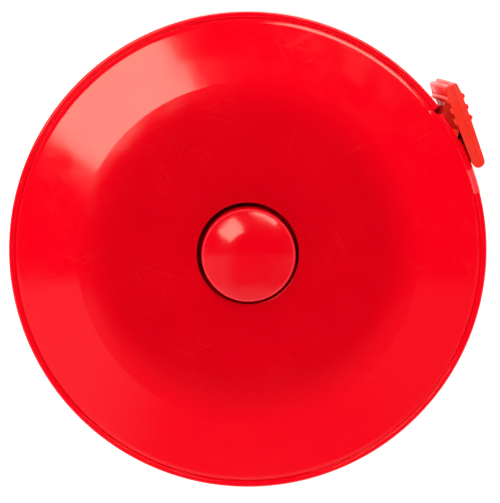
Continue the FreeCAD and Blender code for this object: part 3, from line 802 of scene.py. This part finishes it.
def glossy_plastic(name, deep, base, rough, wear, painted_band_light=None):
    """Moulded gloss plastic: faint flow lines, orange peel, hair scratches and dust.

    A lighter colour, where given, is painted light: the colour grows lighter outwards and reaches
    it a little outside the crease, standing in for the light that the sloping band catches.
    """
    material, tree, shader, place = new_material(name, IOR=1.49)
    flow = remap(tree, noise(tree, place, 9.0, 3.0), 0.35, 0.65)
    body = mixed(tree, flow, colour(*deep), colour(*base))
    if painted_band_light:
        # Painted light: lighter outwards across the crease, in place of the light that the sloping
        # band catches.
        flat = add(tree, "VectorMath", {0: place, 1: (1.0, 1.0, 0.0)}, operation="MULTIPLY")
        away = add(tree, "VectorMath", {0: flat.outputs["Vector"]}, operation="LENGTH")
        painted_light_share = remap(tree, away.outputs["Value"], PAINTED_LIGHT_NEAR * MM, PAINTED_LIGHT_FAR * MM)
        body = mixed(tree, painted_light_share, body, colour(*painted_band_light))
    hairs = scratches(tree, place, *HAIRS[0])
    for hair in HAIRS[1:]:
        hairs = mathematics(tree, "MAXIMUM", hairs, scratches(tree, place, *hair))
    patches = remap(tree, noise(tree, place, 5.0), 0.45, 0.65)
    hairs = mathematics(tree, "MULTIPLY", hairs, patches)
    pale_hairs = mathematics(tree, "MULTIPLY", hairs, HAIR_COLOUR)
    marks = mathematics(tree, "MAXIMUM", pale_hairs, specks(tree, place, **DUST))
    marks = mathematics(tree, "MULTIPLY", marks, wear)
    body = mixed(tree, marks, body, colour(*MARK_TINT))
    haze = remap(tree, noise(tree, place, 3.0, 4.0), 0.3, 0.7, rough * 0.8, rough * 1.35)
    rough_hairs = mathematics(tree, "MULTIPLY", hairs, HAIR_ROUGH)
    roughness = mathematics(tree, "ADD", haze, rough_hairs)
    cut_hairs = mathematics(tree, "MULTIPLY", hairs, HAIR_RELIEF)
    relief = mathematics(tree, "SUBTRACT", noise(tree, place, 0.9), cut_hairs)
    normal = bumped(tree, relief, 0.004, 0.6)
    connect(tree, shader, Base_Color=body, Roughness=roughness, Normal=normal)
    return material


def case_plastic():
    return glossy_plastic(
        "case_gloss_red",
        deep=(0.69, 0.0003, 0.0075),
        base=(0.72, 0.0003, 0.0080),
        rough=0.10,
        wear=0.8,
        # the lighter colour painted on the sloping band as painted light
        painted_band_light=(0.94, 0.0005, 0.0110),
    )


def button_plastic():
    return glossy_plastic(
        "button_gloss_red",
        deep=(0.84, 0.0004, 0.0100),
        base=(0.87, 0.0006, 0.0110),
        rough=0.14,
        wear=1.0,
    )


def tab_plastic():
    """The softer, slightly more orange plastic of the grip."""
    return glossy_plastic(
        "tab_satin_red",
        deep=(0.90, 0.024, 0.014),
        base=(0.95, 0.032, 0.018),
        rough=0.30,
        wear=0.7,
    )


def plated_steel():
    """Zinc-plated steel with a fine grain that runs one way."""
    material, tree, shader, place = new_material("plated_steel", Metallic=1.0)
    cloud = noise(tree, place, 0.8, 4.0)
    grain = scratches(tree, place, turn=0.0, length_mm=2.0, width_mm=0.03, threshold=0.5)
    tone = mixed(tree, cloud, colour(0.52, 0.53, 0.54), colour(0.68, 0.69, 0.70))
    roughness = remap(tree, cloud, 0.2, 0.8, 0.28, 0.42)
    normal = bumped(tree, grain, 0.002, 0.4)
    connect(tree, shader, Base_Color=tone, Roughness=roughness, Normal=normal)
    return material


def blued_spring_steel():
    """Rolled spring steel, brown to blue where it was tempered."""
    material, tree, shader, place = new_material("blued_spring_steel", Metallic=1.0)
    bloom = noise(tree, place, 3.0, 3.0)
    tone = mixed(tree, bloom, colour(0.16, 0.20, 0.30), colour(0.36, 0.27, 0.20))
    rolled = noise(tree, place, 0.15)
    roughness = remap(tree, rolled, 0.2, 0.8, 0.22, 0.36)
    normal = bumped(tree, rolled, 0.001, 0.4)
    connect(tree, shader, Base_Color=tone, Roughness=roughness, Normal=normal)
    return material


def moulded_nylon():
    """Natural white nylon, a little translucent, with a spark-eroded grain."""
    material, tree, shader, place = new_material(
        "moulded_nylon", IOR=1.53, Subsurface_Weight=0.15, Subsurface_Scale=0.001
    )
    cloud = noise(tree, place, 2.5, 3.0)
    tone = mixed(tree, cloud, colour(0.72, 0.70, 0.64), colour(0.82, 0.80, 0.75))
    grain = noise(tree, place, 0.12)
    roughness = remap(tree, grain, 0.2, 0.8, 0.42, 0.58)
    normal = bumped(tree, grain, 0.01, 0.4)
    connect(tree, shader, Base_Color=tone, Roughness=roughness, Normal=normal)
    return material


def turned_brass():
    """Plain brass, a little cloudy."""
    material, tree, shader, place = new_material("turned_brass", Metallic=1.0)
    cloud = noise(tree, place, 0.6, 3.0)
    tone = mixed(tree, cloud, colour(0.72, 0.50, 0.20), colour(0.84, 0.62, 0.30))
    roughness = remap(tree, cloud, 0.2, 0.8, 0.2, 0.34)
    normal = bumped(tree, noise(tree, place, 0.08, 1.0), 0.001, 0.4)
    connect(tree, shader, Base_Color=tone, Roughness=roughness, Normal=normal)
    return material


def brake_rubber():
    """Black matt rubber with a coarse grain."""
    material, tree, shader, place = new_material("brake_rubber", IOR=1.5)
    grain = noise(tree, place, 0.2, 3.0)
    tone = mixed(tree, grain, colour(0.012, 0.012, 0.013), colour(0.04, 0.04, 0.042))
    roughness = remap(tree, grain, 0.2, 0.8, 0.6, 0.85)
    normal = bumped(tree, grain, 0.02, 0.6)
    connect(tree, shader, Base_Color=tone, Roughness=roughness, Normal=normal)
    return material


# every so many millimetres, reach as a share of the tape's width, thickness in millimetres
TICKS = [(1.0, 0.24, 0.12), (5.0, 0.36, 0.14), (10.0, 0.52, 0.18)]
TAPE_BORDER = 0.35


def coated_glass_fibre():
    """Cream coated tape with ticks every millimetre, longer ones every 5 and 10, and a border."""
    material, tree, shader, place = new_material("coated_glass_fibre", IOR=1.5)
    lengthwise = (math.sin(math.radians(-TAPE_ANGLE)), math.cos(math.radians(TAPE_ANGLE)), 0.0)
    run = add(tree, "VectorMath", {0: place, 1: lengthwise}, operation="DOT_PRODUCT")
    along_mm = mathematics(tree, "MULTIPLY", run.outputs["Value"], 1.0 / MM)
    height = mathematics(
        tree, "MULTIPLY", add(tree, "SeparateXYZ", {0: place}).outputs["Z"], 1.0 / MM
    )
    width = leader_high.z - leader_low.z
    ink = None
    for every, reach, thick in TICKS:
        phase = mathematics(tree, "WRAP", along_mm, every)
        phase.node.inputs[2].default_value = 0.0
        line = mathematics(tree, "LESS_THAN", phase, thick)
        near_edge = mathematics(tree, "LESS_THAN", height, leader_low.z + width * reach)
        tick = mathematics(tree, "MULTIPLY", line, near_edge)
        ink = tick if ink is None else mathematics(tree, "MAXIMUM", ink, tick)
    border = mathematics(tree, "GREATER_THAN", height, leader_high.z - TAPE_BORDER)
    weave = noise(tree, place, 0.25)
    base = mixed(tree, weave, colour(0.80, 0.72, 0.40), colour(0.86, 0.79, 0.48))
    base = mixed(tree, border, base, colour(0.55, 0.02, 0.02))
    base = mixed(tree, ink, base, colour(0.02, 0.02, 0.022))
    roughness = remap(tree, weave, 0.2, 0.8, 0.36, 0.5)
    normal = bumped(tree, weave, 0.01, 0.5)
    connect(tree, shader, Base_Color=base, Roughness=roughness, Normal=normal)
    return material


def paint(piece, material):
    piece.data.materials.clear()
    piece.data.materials.append(material)


FINISHES = {
    "case_red": case_plastic(),
    "button_red": button_plastic(),
    "tab_red": tab_plastic(),
    "zinc_steel": plated_steel(),
    "spring_steel": blued_spring_steel(),
    "white_nylon": moulded_nylon(),
    "coated_tape": coated_glass_fibre(),
    "brass": turned_brass(),
    "black_rubber": brake_rubber(),
}
for entry in frame["record"]["subparts"]:
    paint(frame["nodes"][entry["node"]], FINISHES[entry["material_slot"]])
for piece, _, _, finish in STANDS_FOR:
    paint(piece, FINISHES[finish])
paint(tape, FINISHES["coated_tape"])

# ---------------------------------------------------------------- floor

FLOOR_RADIUS, FLOOR_GAP = 3.0, 0.00002  # metres
FLOOR_GLOW = 0.62


def studio_floor():
    """A wide disc just under the case, pale and faintly glowing like a lit table."""
    bm = bmesh.new()
    bmesh.ops.create_circle(bm, cap_ends=True, segments=96, radius=FLOOR_RADIUS)
    mesh = bpy.data.meshes.new("studio_floor")
    bm.to_mesh(mesh)
    bm.free()
    floor = placed("studio_floor", mesh)
    floor.location.z = back_low.z * MM - FLOOR_GAP
    material, tree, shader, place = new_material(
        "pale_table", Roughness=0.9, Emission_Strength=FLOOR_GLOW, Emission_Color=colour(1, 1, 1)
    )
    shade = noise(tree, place, 40.0)
    tone = mixed(tree, shade, colour(0.84, 0.84, 0.84), colour(0.88, 0.88, 0.88))
    connect(tree, shader, Base_Color=tone)
    paint(floor, material)
    return floor


studio_floor()

# ---------------------------------------------------------------- light

CENTRE = Vector((0.0, 0.0, CASE_TOP * MM))
LIGHT_AWAY = 1.2  # metres
KEY_TINT = (1.0, 0.98, 0.78)
FILL_TINT = (1.0, 1.0, 1.0)
FILL_SHAPE = {"off_vertical": 60.0, "wide": 0.9, "deep": 0.6}
FILLS = {  # azimuth and radiance
    "left_fill": (180.0, 1.9),
    "right_fill": (350.0, 1.8),
    "top_fill": (95.0, 2.5),
    "bottom_fill": (270.0, 1.7),
}


def facing(place, side, up, back):
    """The matrix of a lamp or camera at a place, whose axes are the three given."""
    return Matrix.Translation(place) @ Matrix((side, up, back)).transposed().to_4x4()


def softbox(name, azimuth, off_vertical, wide, deep, radiance, mirrored=True):
    """A rectangular soft light that faces the case, seen in reflections if mirrored.

    Its wide side is level, and its deep side slopes towards the case.
    """
    data = bpy.data.lights.new(name, "AREA")
    data.shape = "RECTANGLE"
    data.size = wide
    data.size_y = deep
    data.energy = radiance * math.pi * wide * deep
    data.color = KEY_TINT if mirrored else FILL_TINT
    turn, lean = math.radians(azimuth), math.radians(off_vertical)
    way = Vector((math.sin(lean) * math.cos(turn), math.sin(lean) * math.sin(turn), math.cos(lean)))
    side = Vector((-math.sin(turn), math.cos(turn), 0.0))
    lamp = placed(name, data)
    lamp.matrix_world = facing(CENTRE + way * LIGHT_AWAY, side, way.cross(side), way)
    lamp.visible_glossy = mirrored


softbox("key", azimuth=138.5, off_vertical=25.0, wide=0.46, deep=0.36, radiance=7.0)
softbox("upper_right_key", azimuth=60.0, off_vertical=39.4, wide=0.60, deep=0.27, radiance=7.4)
for fill, (azimuth, radiance) in FILLS.items():
    softbox(fill, azimuth, radiance=radiance, mirrored=False, **FILL_SHAPE)


def studio_walls():
    """The studio that the gloss reflects, by the parts of a direction from the case.

    It is dark overhead and pale at the horizon, with a wall on the near side that is brighter
    to the left and a little to the right, and pale again where it is low.
    """
    world = bpy.data.worlds.new("studio")
    bpy.context.scene.world = world
    world.use_nodes = True
    tree = world.node_tree
    way = add(tree, "TexCoord").outputs["Generated"]
    parts = add(tree, "SeparateXYZ", {0: way}).outputs
    horizon = remap(tree, parts["Z"], 0.15, 0.55, 0.95, 0.0)
    near = remap(tree, parts["Y"], -0.19, -0.17, 0.07, 0.0)
    low = remap(tree, parts["Y"], -0.78, -0.6, 0.3, 0.0)
    left = remap(tree, parts["X"], -0.42, -0.18, 5.4, 0.0)
    right = remap(tree, parts["X"], 0.25, 0.42, 0.0, 1.0)
    sides = mathematics(tree, "ADD", mathematics(tree, "ADD", left, right), 1.0)
    walls = mathematics(tree, "ADD", mathematics(tree, "MULTIPLY", near, sides), low)
    background = tree.nodes["Background"]
    background.inputs["Color"].default_value = colour(1, 1, 1)
    tree.links.new(mathematics(tree, "ADD", horizon, walls), background.inputs["Strength"])


studio_walls()

# ---------------------------------------------------------------- camera

CAMERA_TILT = math.radians(6.0)
CAMERA_AWAY = 0.300  # metres
SHOWN = 0.05275  # the width in metres that the picture shows at the point aimed at
SENSOR = 36.0
AIM = Vector((0.231, -0.095, 10.0)) * MM

camera_data = bpy.data.cameras.new("camera")
camera_data.sensor_width = SENSOR
camera_data.lens = SENSOR * CAMERA_AWAY / SHOWN
camera = placed("camera", camera_data)
across = Vector((1.0, 0.0, 0.0))
upward = Vector((0.0, math.cos(CAMERA_TILT), -math.sin(CAMERA_TILT)))
away = across.cross(upward)
camera.matrix_world = facing(AIM + away * CAMERA_AWAY, across, upward, away)
bpy.context.scene.camera = camera
bpy.context.scene.view_settings.view_transform = "Standard"
